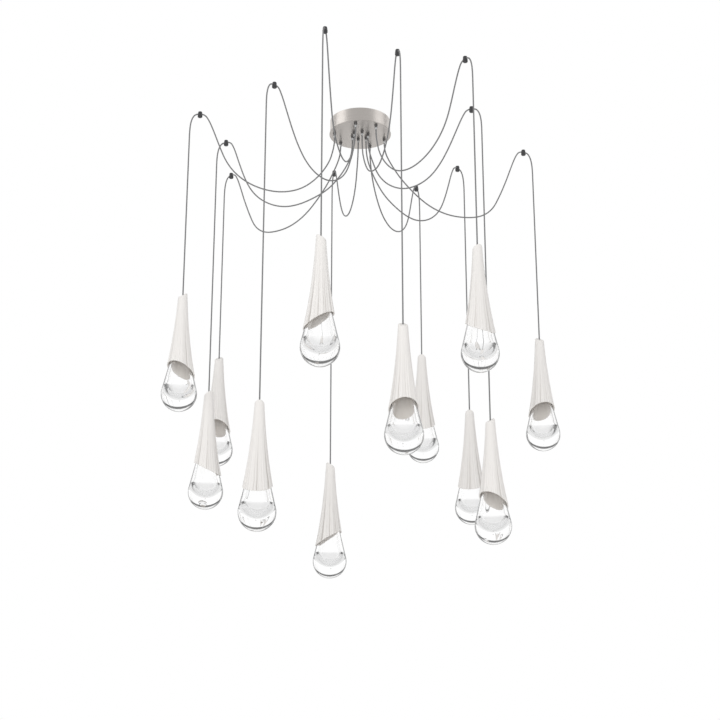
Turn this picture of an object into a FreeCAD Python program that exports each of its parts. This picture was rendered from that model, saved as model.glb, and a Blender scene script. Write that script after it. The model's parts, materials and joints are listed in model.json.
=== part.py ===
import FreeCAD, Part
import math
import os

import Sketcher
from FreeCAD import Vector

# Swag chandelier: a round ceiling canopy feeds twelve cords, each led over a ceiling clip and
# down to a glass drop in a slanted shade. Lengths are in millimetres and angles in degrees.
# The origin is the middle of the canopy on the ceiling, +Z is up and the viewer stands at -Y.

doc = FreeCAD.newDocument("swag_chandelier")
sheet = doc.addObject("Spreadsheet::Sheet", "sizes")

# Sizes

SIZES = [
    # canopy
    ("canopy_diameter", 178),
    ("canopy_height", 43),
    ("band_wall", 1.5),
    ("face_thickness", 2),
    ("face_lip", 2),
    ("face_edge_round", 0.8),
    ("tab_thickness", 1.5),
    ("tab_width", 14),
    ("tab_reach", 17),
    ("tab_angle", 103.7),
    ("stud_diameter", 3),
    ("stud_length", 8),
    ("stud_inset", 10),
    ("stud_clearance", 0.3),
    ("nut_across_flats", 5.5),
    ("nut_thickness", 2.4),
    # ports and cord grips
    ("outer_port_inset", 13),
    ("inner_port_radius", 24),
    ("grip_thread_diameter", 7),
    ("grip_hole_clearance", 0.2),
    ("grip_thread_length", 7),
    ("grip_flange_diameter", 10),
    ("grip_flange_thickness", 1.5),
    ("grip_barrel_diameter", 8),
    ("grip_length", 8),
    ("grip_nut_across_flats", 10),
    ("grip_nut_thickness", 3),
    ("tip_top_diameter", 6.4),
    ("tip_end_diameter", 5.4),
    ("tip_length", 6),
    ("tip_clearance", 0.1),
    # mounting bar
    ("bar_width", 25),
    ("bar_thickness", 2),
    ("ear_thickness", 3),
    ("ear_depth", 22),
    ("box_screw_spacing", 88.9),
    ("box_slot_width", 5),
    ("box_slot_length", 12),
    ("wire_hole_diameter", 10),
    ("side_screw_diameter", 4),
    ("side_screw_depth", 14),
    ("side_screw_length", 6),
    ("side_screw_clearance", 0.2),
    # driver
    ("driver_length", 100),
    ("driver_width", 38),
    ("driver_height", 24),
    ("driver_round", 3),
    ("driver_gap", 4),
    ("lug_length", 60),
    ("lug_reach", 7),
    ("lug_thickness", 2),
    ("lug_stud_diameter", 4),
    ("lug_stud_spacing", 40),
    ("lug_stud_inset", 4),
    # ceiling layout, four kinds of drop with three of each
    ("hook_radius_a", 473),
    ("hook_radius_b", 535),
    ("hook_radius_c", 424.5),
    ("hook_radius_d", 337),
    ("hook_angle_a", 67.4),
    ("hook_angle_b", 20),
    ("hook_angle_c", 43.8),
    ("hook_angle_d", 104.1),
    ("drop_offset", 28.5),
    ("drop_a", 570),
    ("drop_b", 609),
    ("drop_c", 798),
    ("drop_d", 948),
    # ceiling clips
    ("clip_top_diameter", 11),
    ("clip_diameter", 12.6),
    ("clip_dome_height", 3.5),
    ("clip_seat_margin", 0.3),
    ("clip_boss_diameter", 9),
    ("clip_boss_length", 5),
    ("cord_depth_in_clip", 6.6),
    ("clip_slot_clearance", 0.1),
    ("cap_diameter", 14),
    ("cap_height", 8.5),
    ("cap_round", 3),
    ("clip_thread_diameter", 4),
    ("clip_thread_roof", 0.5),
    # cords
    ("cord_radius", 2),
    ("pivot_depth", 90),
    ("pivot_gap", 0.5),
    ("cord_anchor_clearance", 0.4),
    ("cord_end_depth", 28),
    # shade, depths counted down from its highest point
    ("shade_top_radius", 12.2),
    ("shade_blank_length", 258),
    ("shade_wall", 2.8),
    ("shade_rim_clearance", 0.4),
    ("shade_waist_clearance", 1.2),
    ("shade_seat_clearance", 0.8),
    ("shade_seat_depth", 20),
    ("top_cut_depth", 8),
    ("rim_cut_depth", 231),
    ("cut_angle", 28.5),
    # glass drop
    ("glass_top_depth", 144),
    ("glass_neck_radius", 17.6),
    ("glass_neck_length", 17),
    ("glass_length", 205),
    ("glass_ball_radius", 49.5),
    ("glass_shoulder_rise", 11.6),
    ("glass_wall", 3.2),
    ("glass_ball_wall", 16.5),
    ("glass_base_thickness", 38),
    # lamp unit
    ("anchor_radius", 9.5),
    ("sink_step", 1.5),
    ("sink_top_depth", 52),
    ("collar_wall", 2.3),
    ("flange_thickness", 6),
    ("anchor_hole_depth", 12),
    ("board_radius", 12),
    ("board_thickness", 1.6),
    ("lens_end_radius", 9),
    ("lens_height", 7),
    ("collar_height", 14),
    ("collar_clearance", 0.1),
    # way the open side of each shade faces, from +X towards +Y
    ("turn_01", 80),
    ("turn_02", -134),
    ("turn_03", 125),
    ("turn_04", -70),
    ("turn_05", -105),
    ("turn_06", -2),
    ("turn_07", 80),
    ("turn_08", 155),
    ("turn_09", -82),
    ("turn_10", 5),
    ("turn_11", 90),
    ("turn_12", -140),
]

for row, (alias, number) in enumerate(SIZES, start=1):
    sheet.set(f"A{row}", alias.replace("_", " "))
    sheet.set(f"B{row}", str(number))
    sheet.setAlias(f"B{row}", alias)
doc.recompute()


# Lengths that follow from the sizes, so that what fits together keeps its clearances

follows = doc.addObject("App::VarSet", "follows")
FOLLOWING = [
    ("outer_port_radius", "sizes.canopy_diameter / 2 - sizes.outer_port_inset"),
    ("stud_radius", "sizes.canopy_diameter / 2 - sizes.stud_inset"),
    ("clip_slot_radius", "sizes.cord_radius + sizes.clip_slot_clearance"),
    ("clip_thread_depth", "sizes.cord_depth_in_clip - follows.clip_slot_radius - sizes.clip_thread_roof"),
    ("clip_shoulder_depth", "sizes.cord_depth_in_clip + follows.clip_slot_radius + sizes.clip_seat_margin"),
    ("cap_bottom_depth", "follows.clip_shoulder_depth + sizes.cap_height"),
    # glass drop
    ("glass_neck_inner", "sizes.glass_neck_radius - sizes.glass_wall"),
    ("glass_neck_end_depth", "sizes.glass_top_depth + sizes.glass_neck_length"),
    ("glass_bottom_depth", "sizes.glass_top_depth + sizes.glass_length"),
    ("shoulder_radius", "sqrt(sizes.glass_ball_radius ^ 2 - sizes.glass_shoulder_rise ^ 2)"),
    ("shoulder_depth", "follows.glass_bottom_depth - sizes.glass_ball_radius - sizes.glass_shoulder_rise"),
    ("cone_slope", "(follows.shoulder_radius - sizes.glass_neck_radius)"
                   " / (follows.shoulder_depth - follows.glass_neck_end_depth)"),
    ("cavity_ball_radius", "sizes.glass_ball_radius - sizes.glass_ball_wall"),
    ("cavity_bottom_depth", "follows.glass_bottom_depth - sizes.glass_base_thickness"),
    # lamp unit
    ("sink_radius", "sizes.anchor_radius + sizes.sink_step"),
    ("collar_bore_radius", "sizes.glass_neck_radius + sizes.collar_clearance"),
    ("flange_radius", "follows.collar_bore_radius + sizes.collar_wall"),
    ("flange_top_depth", "sizes.glass_top_depth - sizes.flange_thickness"),
    # shade, which clears the cord, the anchor, the flange and the glass
    ("shade_hole_radius", "sizes.cord_radius + sizes.cord_anchor_clearance"),
    ("shade_seat_radius", "sizes.anchor_radius + sizes.shade_seat_clearance"),
    ("waist_inner", "follows.flange_radius + sizes.shade_waist_clearance"),
    ("waist_outer", "follows.waist_inner + sizes.shade_wall"),
    ("rim_inner", "sizes.glass_neck_radius + sizes.shade_rim_clearance"
                  " + follows.cone_slope * (sizes.shade_blank_length - follows.glass_neck_end_depth)"),
    ("rim_outer", "follows.rim_inner + sizes.shade_wall"),
    # middle poles that lead the flares past the waist, level with the flange
    ("inner_pole_across", "2 * follows.waist_inner - (follows.shade_seat_radius + follows.rim_inner) / 2"),
    ("inner_pole_depth", "2 * follows.flange_top_depth"
                         " - (sizes.shade_seat_depth + sizes.shade_blank_length) / 2"),
    ("outer_pole_across", "2 * follows.waist_outer - (sizes.shade_top_radius + follows.rim_outer) / 2"),
    ("outer_pole_depth", "2 * follows.flange_top_depth - sizes.shade_blank_length / 2"),
]
for name, expression in FOLLOWING:
    follows.addProperty("App::PropertyFloat", name)
    follows.setExpression(name, expression)
    doc.recompute()


def value(name):
    """Number of a size, or of a length that follows from the sizes."""
    return getattr(follows, name) if name in follows.PropertiesList else float(sheet.get(name))


def bound(name):
    """The same as an expression."""
    return f"follows.{name}" if name in follows.PropertiesList else f"sizes.{name}"


# Helpers

TOLERANCE = 1e-3


def bind(piece, **properties):
    for name, text in properties.items():
        piece.setExpression(name, text)
    return piece


def cylinder(name, radius, height, top="0"):
    """An upright cylinder whose upper face lies at the height top."""
    piece = doc.addObject("Part::Cylinder", name)
    bind(piece, Radius=radius, Height=height)
    piece.setExpression("Placement.Base.z", f"({top}) - ({height})")
    return piece


def drill(name, radius):
    """An upright tool that passes right through the canopy and what hangs under it."""
    return cylinder(name, radius, "2 * sizes.canopy_height", "sizes.canopy_height / 2")


def cone(name, upper_radius, lower_radius, height, top="0"):
    piece = doc.addObject("Part::Cone", name)
    bind(piece, Radius1=lower_radius, Radius2=upper_radius, Height=height)
    piece.setExpression("Placement.Base.z", f"({top}) - ({height})")
    return piece


def box(name, length, width, height, x, y, top):
    """A block whose upper face lies at the height top, centred on x and y."""
    piece = doc.addObject("Part::Box", name)
    bind(piece, Length=length, Width=width, Height=height)
    piece.setExpression("Placement.Base.x", f"({x}) - ({length}) / 2")
    piece.setExpression("Placement.Base.y", f"({y}) - ({width}) / 2")
    piece.setExpression("Placement.Base.z", f"({top}) - ({height})")
    return piece


def hexagon(name, across_flats, height, top):
    piece = doc.addObject("Part::Prism", name)
    piece.Polygon = 6
    bind(piece, Circumradius=f"({across_flats}) / 2 / cos(30)", Height=height)
    piece.setExpression("Placement.Base.z", f"({top}) - ({height})")
    return piece


def cut(name, base, tool):
    piece = doc.addObject("Part::Cut", name)
    piece.Base = base
    piece.Tool = tool
    return piece


def common(name, base, tool):
    piece = doc.addObject("Part::Common", name)
    piece.Base = base
    piece.Tool = tool
    return piece


def fuse(name, pieces):
    piece = doc.addObject("Part::MultiFuse", name)
    piece.Shapes = pieces
    return piece


def group(name, pieces):
    """One node made of separate solids."""
    piece = doc.addObject("Part::Compound", name)
    piece.Links = pieces
    piece.Label = name
    return piece


def placed(name, master, radius, angle, depth, turn):
    """A copy of a master piece at a radius, angle and depth, turned about its own axis."""
    piece = doc.addObject("Part::Compound", name)
    piece.Links = [master]
    piece.setExpression("Placement.Base.x", f"({radius}) * cos({angle})")
    piece.setExpression("Placement.Base.y", f"({radius}) * sin({angle})")
    piece.setExpression("Placement.Base.z", f"-({depth})")
    piece.setExpression("Placement.Rotation.Angle", turn)
    return piece


def lay_across(piece):
    """Turns an upright piece so that its length runs along X."""
    piece.Placement = FreeCAD.Placement(Vector(), FreeCAD.Rotation(Vector(0, 1, 0), 90))


def round_edges(name, base, radius, wanted):
    """Rounds the edges of base whose middle passes the test."""
    doc.recompute()
    piece = doc.addObject("Part::Fillet", name)
    piece.Base = base
    numbers = [i for i, edge in enumerate(base.Shape.Edges, start=1) if wanted(edge)]
    piece.Edges = [(i, radius, radius) for i in numbers]
    return piece


# Layout of the twelve drops

KINDS = "abcd"
SECTORS = range(3)
SECTOR_ANGLE = 360 / len(SECTORS)
SIDES = {"left": -1, "right": 1}
DROPS = [(kind, sector) for kind in KINDS for sector in SECTORS]


def angle_of(kind, sector):
    return f"sizes.hook_angle_{kind} + {sector * SECTOR_ANGLE}"


def port_radius(kind):
    return "outer_port_radius" if kind in "ab" else "inner_port_radius"


def at_ports(name, master):
    """Twelve copies of a master, one under each port."""
    return group(name, [
        placed(f"{name}_{kind}{sector}", master, bound(port_radius(kind)),
               angle_of(kind, sector), "0", angle_of(kind, sector))
        for kind, sector in DROPS])


def at_hooks(name, master):
    """Twelve copies of a master, one at each ceiling clip."""
    return group(name, [
        placed(f"{name}_{kind}{sector}", master, f"sizes.hook_radius_{kind}",
               angle_of(kind, sector), "0", angle_of(kind, sector))
        for kind, sector in DROPS])


nodes = []

# Canopy band: a ring with three inner tabs for the face plate

band_outer = cylinder("band_outer", "sizes.canopy_diameter / 2",
                      "sizes.canopy_height - sizes.face_thickness")
band_inner = drill("band_inner", "sizes.canopy_diameter / 2 - sizes.band_wall")
band_ring = cut("band_ring", band_outer, band_inner)
PLATE_TOP = "sizes.face_thickness - sizes.canopy_height"


def tab_angle(sector):
    return f"sizes.tab_angle + {sector * SECTOR_ANGLE}"


def tab_at(sector):
    """One tab and its stud hole, reaching inward from the ring."""
    angle = tab_angle(sector)
    blank = box(f"tab_blank_{sector}", "sizes.tab_reach", "sizes.tab_width", "sizes.tab_thickness",
                "sizes.canopy_diameter / 2 - sizes.band_wall / 2 - sizes.tab_reach / 2", "0",
                f"{PLATE_TOP} + sizes.tab_thickness")
    hole = drill(f"tab_hole_{sector}", "sizes.stud_diameter / 2 + sizes.stud_clearance")
    bind(hole, **{"Placement.Base.x": "follows.stud_radius"})
    drilled = cut(f"tab_drilled_{sector}", blank, hole)
    return placed(f"tab_{sector}", drilled, "0", angle, "0", angle)


side_holes = cylinder("side_holes", "sizes.side_screw_diameter / 2 + sizes.side_screw_clearance",
                      "sizes.canopy_diameter + 2 * sizes.face_lip")
lay_across(side_holes)
bind(side_holes, **{
    "Placement.Base.x": "-sizes.canopy_diameter / 2 - sizes.face_lip",
    "Placement.Base.z": "-sizes.side_screw_depth"})
band_joined = fuse("band_joined", [band_ring] + [tab_at(sector) for sector in SECTORS])
nodes.append(cut("canopy_band", band_joined, side_holes))

# Face plate: a disc a little wider than the band, with twelve ports and three studs

plate_blank = cylinder("plate_blank", "sizes.canopy_diameter / 2 + sizes.face_lip",
                       "sizes.face_thickness", PLATE_TOP)
plate_rounded = round_edges("plate_rounded", plate_blank, value("face_edge_round"),
                            lambda edge: edge.Curve.TypeId == "Part::GeomCircle")
port_tool = drill("port_tool", "sizes.grip_thread_diameter / 2 + sizes.grip_hole_clearance")
plate_drilled = cut("plate_drilled", plate_rounded, at_ports("port_tools", port_tool))
plate_stud = cylinder("plate_stud", "sizes.stud_diameter / 2",
                      "sizes.stud_length + sizes.face_thickness / 2",
                      f"{PLATE_TOP} + sizes.stud_length")
stud_angles = [tab_angle(sector) for sector in SECTORS]
plate_studs = [placed(f"plate_stud_{i}", plate_stud, "follows.stud_radius", angle, "0", angle)
               for i, angle in enumerate(stud_angles)]
nodes.append(fuse("face_plate", [plate_drilled] + plate_studs))

# Nuts over the band's tabs

nut_blank = hexagon("nut_blank", "sizes.nut_across_flats", "sizes.nut_thickness",
                    f"{PLATE_TOP} + sizes.tab_thickness + sizes.nut_thickness")
face_nut = cut("face_nut", nut_blank, drill("nut_bore", "sizes.stud_diameter / 2"))
nodes.append(group("face_nuts", [
    placed(f"face_nut_{i}", face_nut, "follows.stud_radius", angle, "0", angle)
    for i, angle in enumerate(stud_angles)]))

# Mounting bar: a strap on the ceiling box with a down-turned ear at each end

INNER_RADIUS = "sizes.canopy_diameter / 2 - sizes.band_wall"
ear_ring = cut("ear_ring",
               cylinder("ear_outer", INNER_RADIUS, "sizes.ear_depth"),
               drill("ear_inner", f"{INNER_RADIUS} - sizes.ear_thickness"))
ears = common("ears", ear_ring, box("ear_slab", "sizes.canopy_diameter", "sizes.bar_width",
                                    "sizes.ear_depth", "0", "0", "0"))
strap = common("strap",
               box("strap_slab", "sizes.canopy_diameter", "sizes.bar_width", "sizes.bar_thickness",
                   "0", "0", "0"),
               drill("strap_end", f"{INNER_RADIUS} - sizes.ear_thickness / 2"))


def slot(side, sign):
    """One slot for a ceiling box screw, long along the bar."""
    straight = "(sizes.box_slot_length - sizes.box_slot_width)"
    centre = f"{sign} * sizes.box_screw_spacing / 2"
    tools = [box(f"slot_middle_{side}", straight, "sizes.box_slot_width", "sizes.canopy_height",
                 centre, "0", "sizes.canopy_height / 2")]
    for end, end_sign in SIDES.items():
        tool = drill(f"slot_{end}_end_{side}", "sizes.box_slot_width / 2")
        bind(tool, **{"Placement.Base.x": f"{centre} + {end_sign} * {straight} / 2"})
        tools.append(tool)
    return tools


LUG_STUD_Y = "sizes.bar_width / 2 - sizes.lug_stud_inset"
bar_holes = [drill("wire_hole", "sizes.wire_hole_diameter / 2")]
for side, sign in SIDES.items():
    tool = drill(f"lug_stud_hole_{side}", "sizes.lug_stud_diameter / 2")
    bind(tool, **{"Placement.Base.x": f"{sign} * sizes.lug_stud_spacing / 2",
                  "Placement.Base.y": LUG_STUD_Y})
    bar_holes += [tool] + slot(side, sign)
ear_screw_holes = cylinder("ear_screw_holes", "sizes.side_screw_diameter / 2", "sizes.canopy_diameter")
lay_across(ear_screw_holes)
bind(ear_screw_holes, **{
    "Placement.Base.x": "-sizes.canopy_diameter / 2",
    "Placement.Base.z": "-sizes.side_screw_depth"})
bar_tools = fuse("bar_tools", bar_holes + [ear_screw_holes])
nodes.append(cut("mounting_bar", fuse("bar_joined", [strap, ears]), bar_tools))

# Side screws: headless, flush with the band and driven into the ears

side_screws = []
for side, sign in SIDES.items():
    screw = cylinder(f"side_screw_{side}", "sizes.side_screw_diameter / 2", "sizes.side_screw_length")
    lay_across(screw)
    outer_end = "sizes.canopy_diameter / 2 - sizes.band_wall / 2"
    start = f"{outer_end} - sizes.side_screw_length" if sign > 0 else f"-({outer_end})"
    bind(screw, **{"Placement.Base.x": start, "Placement.Base.z": "-sizes.side_screw_depth"})
    side_screws.append(screw)
nodes.append(group("side_screws", side_screws))

# Driver: a rounded case beside the bar, its lug riveted under the bar by two studs

DRIVER_Y = "sizes.bar_width / 2 + sizes.driver_gap + sizes.driver_width / 2"
DRIVER_TOP = "-sizes.bar_thickness"
case_blank = box("case_blank", "sizes.driver_length", "sizes.driver_width", "sizes.driver_height",
                 "0", DRIVER_Y, DRIVER_TOP)


def upright(edge):
    ends = [vertex.Point for vertex in edge.Vertexes]
    return abs(ends[0].x - ends[1].x) + abs(ends[0].y - ends[1].y) < TOLERANCE


case = round_edges("case", case_blank, value("driver_round"), upright)
lug = box("lug", "sizes.lug_length", "sizes.lug_reach + sizes.driver_gap + sizes.lug_thickness",
          "sizes.lug_thickness", "0",
          "sizes.bar_width / 2 + (sizes.driver_gap + sizes.lug_thickness - sizes.lug_reach) / 2",
          DRIVER_TOP)
lug_studs = []
for side, sign in SIDES.items():
    stud = cylinder(f"lug_stud_{side}", "sizes.lug_stud_diameter / 2",
                    "sizes.bar_thickness + sizes.lug_thickness / 2")
    bind(stud, **{"Placement.Base.x": f"{sign} * sizes.lug_stud_spacing / 2",
                  "Placement.Base.y": LUG_STUD_Y})
    lug_studs.append(stud)
nodes.append(fuse("led_driver", [case, lug] + lug_studs))

# Cord grips: a threaded gland through the face plate, a lock nut inside and a clear tip below

GRIP_TOP = "-sizes.canopy_height"
grip = fuse("grip", [
    cylinder("grip_thread", "sizes.grip_thread_diameter / 2",
             "sizes.grip_thread_length + sizes.grip_flange_thickness / 2",
             f"{GRIP_TOP} + sizes.grip_thread_length"),
    cylinder("grip_flange", "sizes.grip_flange_diameter / 2", "sizes.grip_flange_thickness", GRIP_TOP),
    cylinder("grip_barrel", "sizes.grip_barrel_diameter / 2", "sizes.grip_length", GRIP_TOP)])
grip_nut = cut("grip_nut",
               hexagon("grip_nut_blank", "sizes.grip_nut_across_flats", "sizes.grip_nut_thickness",
                       f"{PLATE_TOP} + sizes.grip_nut_thickness"),
               drill("grip_nut_bore", "sizes.grip_thread_diameter / 2"))
nodes.append(at_ports("cord_grips", grip))
nodes.append(at_ports("grip_nuts", grip_nut))

tip_top = f"{GRIP_TOP} - sizes.grip_length"
tip = cut("tip",
          cone("tip_blank", "sizes.tip_top_diameter / 2", "sizes.tip_end_diameter / 2",
               "sizes.tip_length", tip_top),
          drill("tip_bore", "sizes.cord_radius + sizes.tip_clearance"))
nodes.append(at_ports("grip_tips", tip))

# Ceiling clips: a domed base, threaded for a ceiling stud and slotted for the cord, and a cap that
# closes the slot

clip_blank = fuse("clip_blank", [
    cone("clip_dome", "sizes.clip_top_diameter / 2", "sizes.clip_diameter / 2", "sizes.clip_dome_height"),
    cylinder("clip_waist", "sizes.clip_diameter / 2",
             "follows.clip_shoulder_depth - sizes.clip_dome_height", "-sizes.clip_dome_height"),
    cylinder("clip_boss", "sizes.clip_boss_diameter / 2", "sizes.clip_boss_length",
             "-follows.clip_shoulder_depth")])
slot_round = cylinder("slot_round", "follows.clip_slot_radius", "2 * sizes.cap_diameter")
lay_across(slot_round)
bind(slot_round, **{"Placement.Base.x": "-sizes.cap_diameter",
                    "Placement.Base.z": "-sizes.cord_depth_in_clip"})
slot_open = box("slot_open", "2 * sizes.cap_diameter", "2 * follows.clip_slot_radius",
                "follows.cap_bottom_depth", "0", "0", "-sizes.cord_depth_in_clip")
clip_thread = cylinder("clip_thread", "sizes.clip_thread_diameter / 2", "follows.clip_thread_depth")
clip_base = cut("clip_base", clip_blank, fuse("clip_tools", [slot_round, slot_open, clip_thread]))
nodes.append(at_hooks("hook_bases", clip_base))

cap_blank = cylinder("cap_blank", "sizes.cap_diameter / 2", "sizes.cap_height",
                     "-follows.clip_shoulder_depth")
cap_rounded = round_edges("cap_rounded", cap_blank, value("cap_round"),
                          lambda edge: edge.CenterOfMass.z < TOLERANCE - value("cap_bottom_depth"))
cap_bore = cylinder("cap_bore", "sizes.clip_boss_diameter / 2", "sizes.clip_boss_length",
                    "-follows.clip_shoulder_depth")
nodes.append(at_hooks("hook_caps", cut("clip_cap", cap_rounded, cap_bore)))

# Cords. A route is a list of corners in the upright plane of its clip, as distance from the
# canopy's axis and height. The tube runs straight between corners and turns on tangent arcs.

SWAG_CORNERS = {
    "a": [(80, -97), (91, -138), (121, -186), (165, -226), (216, -243), (268, -242), (320, -225),
          (363, -195), (393, -156), (414, -106), (432, -58), (446, -26)],
    "b": [(82, -95), (97, -122), (126, -163), (170, -206), (219, -241), (274, -259), (330, -260),
          (384, -249), (424, -219), (450, -168), (474, -112), (494, -58), (508, -25)],
    "c": [(26, -97), (34, -126), (60, -168), (96, -206), (140, -229), (189, -245), (234, -247),
          (278, -233), (317, -206), (345, -170), (364, -128), (381, -80), (391, -49), (400, -25)],
    "d": [(27, -98), (37, -134), (55, -184), (87, -220), (131, -238), (176, -230), (213, -206),
          (242, -169), (266, -125), (287, -78), (300, -48), (311, -25)],
}
# corners on both sides of a clip, as distance beyond the clip and height
CLIP_ENTRY = -14
CLIP_EXIT = [(12, 0), (22, -13.4), (27, -34.4)]
# straight leads under a grip and at the top of the drop
PORT_LEAD = 19
DROP_LEAD = 23
ARC_SHARE = 0.45


def swag_route(kind):
    """All corners of a swag cord, from the grip over the clip to the top of the drop."""
    hook = value(f"hook_radius_{kind}")
    level = -value("cord_depth_in_clip")
    start = (value(port_radius(kind)), -value("canopy_height") - value("grip_length"))
    drop = hook + value("drop_offset")
    end = -value("pivot_depth") + value("pivot_gap") / 2
    route = [start, (start[0], start[1] - PORT_LEAD)]
    route += SWAG_CORNERS[kind] + [(hook + CLIP_ENTRY, level)]
    route += [(hook + along, level + down) for along, down in CLIP_EXIT]
    route += [(drop, end + DROP_LEAD), (drop, end)]
    return [Vector(along, 0, height) for along, height in route]


def cord_tube(route):
    """A round tube along straight runs joined by tangent arcs, and its tightest radius."""
    edges = []
    tightest = math.inf
    here = route[0]
    for before, corner, after in zip(route, route[1:], route[2:]):
        back = (before - corner).normalize()
        on = (after - corner).normalize()
        half_turn = (math.pi - back.getAngle(on)) / 2
        reach = ARC_SHARE * min((before - corner).Length, (after - corner).Length)
        radius = reach / math.tan(half_turn)
        tightest = min(tightest, radius)
        middle = (back + on).normalize() * (radius / math.cos(half_turn) - radius)
        start = corner + back * reach
        finish = corner + on * reach
        edges.append(Part.LineSegment(here, start).toShape())
        edges.append(Part.Arc(start, corner + middle, finish).toShape())
        here = finish
    edges.append(Part.LineSegment(here, route[-1]).toShape())
    path = Part.Wire(edges)
    radius = value("cord_radius")
    ring = Part.Wire(Part.makeCircle(radius, route[0], route[1] - route[0]))
    tube = path.makePipeShell([ring], True, False)
    share = tube.Volume / (math.pi * radius ** 2 * path.Length)
    print(f"cord length {path.Length:.1f} tightest radius {tightest:.1f} volume share {share:.4f}")
    return tube


swag_cords = []
for kind in KINDS:
    cord = doc.addObject("Part::Feature", f"swag_{kind}")
    cord.Shape = cord_tube(swag_route(kind))
    swag_cords += [placed(f"swag_cord_{kind}{sector}", cord, "0", "0", "0", angle_of(kind, sector))
                   for sector in SECTORS]
nodes.append(group("swag_cords", swag_cords))

# Shade: a flared shell turned as a blank, then cut at a slant at both ends so that one side,
# at -X, is the longest

# a sketch's own axes, of which the level one starts at the origin, and the points of an edge
LEVEL_AXIS, UPRIGHT_AXIS = range(-1, -3, -1)
START, END, CENTRE = range(1, 4)
# edges that a drawn flare adds after its own, one for each of its poles
FIRST_POLE, MIDDLE_POLE, LAST_POLE = range(1, 4)


def pin_across(sketch, edge, end, across):
    """Holds the end of an edge at a distance from the upright axis."""
    number = sketch.addConstraint(Sketcher.Constraint(
        "DistanceX", LEVEL_AXIS, START, edge, end, value(across)))
    sketch.setExpression(f"Constraints[{number}]", bound(across))


def pin_depth(sketch, edge, end, depth):
    """Holds the end of an edge at a depth under the origin."""
    number = sketch.addConstraint(Sketcher.Constraint(
        "DistanceY", edge, end, LEVEL_AXIS, START, value(depth)))
    sketch.setExpression(f"Constraints[{number}]", bound(depth))


def pin(sketch, edge, end, across, depth):
    pin_across(sketch, edge, end, across)
    pin_depth(sketch, edge, end, depth)


def rest_on(sketch, edge, end, axis):
    sketch.addConstraint(Sketcher.Constraint("PointOnObject", edge, end, axis))


def set_radius(sketch, edge, text):
    number = sketch.addConstraint(Sketcher.Constraint("Radius", edge, value(text)))
    sketch.setExpression(f"Constraints[{number}]", bound(text))


def join(sketch, edge, end, other, other_end):
    sketch.addConstraint(Sketcher.Constraint("Coincident", edge, end, other, other_end))


def new_profile(name):
    """An empty body and a sketch on its upright front plane."""
    body = doc.addObject("PartDesign::Body", name)
    sketch = body.newObject("Sketcher::SketchObject", f"{name}_profile")
    plane = next(item for item in body.Origin.OriginFeatures if item.Role == "XZ_Plane")
    sketch.AttachmentSupport = [(plane, "")]
    sketch.MapMode = "FlatFace"
    return body, sketch


def turn_profile(body, sketch):
    """Revolves a profile about the upright axis."""
    doc.recompute()
    turned = body.newObject("PartDesign::Revolution", f"{body.Name}_turned")
    turned.Profile = sketch
    turned.ReferenceAxis = (sketch, ["V_Axis"])
    turned.Angle = 360
    doc.recompute()
    return body


def spot(across, depth=None):
    """A point of a profile, from its distance across and its depth, which is none at the top."""
    return Vector(value(across), -value(depth) if depth else 0, 0)


def line(sketch, start, finish):
    return sketch.addGeometry(Part.LineSegment(start, finish))


def flare(sketch, start, finish, pole_across, pole_depth):
    """A curve from start down to finish, led by a held middle pole."""
    curve = Part.BezierCurve()
    curve.setPoles([start, spot(pole_across, pole_depth), finish])
    edge = sketch.addGeometry(curve.toBSpline())
    sketch.exposeInternalGeometry(edge)
    pin(sketch, edge + MIDDLE_POLE, CENTRE, pole_across, pole_depth)
    return edge


shade_body, profile = new_profile("shade_blank")
hole_top = spot("shade_hole_radius")
top_edge = spot("shade_top_radius")
rim_edge = spot("rim_outer", "shade_blank_length")
rim_inside = spot("rim_inner", "shade_blank_length")
seat_edge = spot("shade_seat_radius", "shade_seat_depth")
seat_hole = spot("shade_hole_radius", "shade_seat_depth")
top_line = line(profile, hole_top, top_edge)
outside = flare(profile, top_edge, rim_edge, "outer_pole_across", "outer_pole_depth")
rim_line = line(profile, rim_edge, rim_inside)
inside = flare(profile, seat_edge, rim_inside, "inner_pole_across", "inner_pole_depth")
seat_line = line(profile, seat_edge, seat_hole)
hole_line = line(profile, seat_hole, hole_top)
join(profile, top_line, END, outside, START)
join(profile, outside, END, rim_line, START)
join(profile, rim_line, END, inside, END)
join(profile, inside, START, seat_line, START)
join(profile, seat_line, END, hole_line, START)
join(profile, hole_line, END, top_line, START)
pin_across(profile, top_line, START, "shade_hole_radius")
pin_across(profile, top_line, END, "shade_top_radius")
rest_on(profile, top_line, START, LEVEL_AXIS)
rest_on(profile, top_line, END, LEVEL_AXIS)
pin(profile, rim_line, START, "rim_outer", "shade_blank_length")
pin(profile, rim_line, END, "rim_inner", "shade_blank_length")
pin(profile, seat_line, START, "shade_seat_radius", "shade_seat_depth")
pin(profile, seat_line, END, "shade_hole_radius", "shade_seat_depth")
turn_profile(shade_body, profile)


def slant_tool(name, depth, angle):
    """A wide drum whose flat end is the plane of a slanted cut."""
    tool = doc.addObject("Part::Cylinder", name)
    bind(tool, Radius="2 * follows.rim_outer", Height="2 * follows.rim_outer")
    tool.Placement = FreeCAD.Placement(Vector(), FreeCAD.Rotation(Vector(0, 1, 0), 90))
    bind(tool, **{"Placement.Base.z": f"-({depth})", "Placement.Rotation.Angle": angle})
    return tool


shade_topped = cut("shade_topped", shade_body,
                   slant_tool("top_tool", "sizes.top_cut_depth", "sizes.cut_angle"))
shade = cut("shade", shade_topped,
            slant_tool("rim_tool", "sizes.rim_cut_depth", "180 - sizes.cut_angle"))

# Glass drop: a neck, a cone and a ball, with a round-bottomed cavity over a thick base

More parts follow.
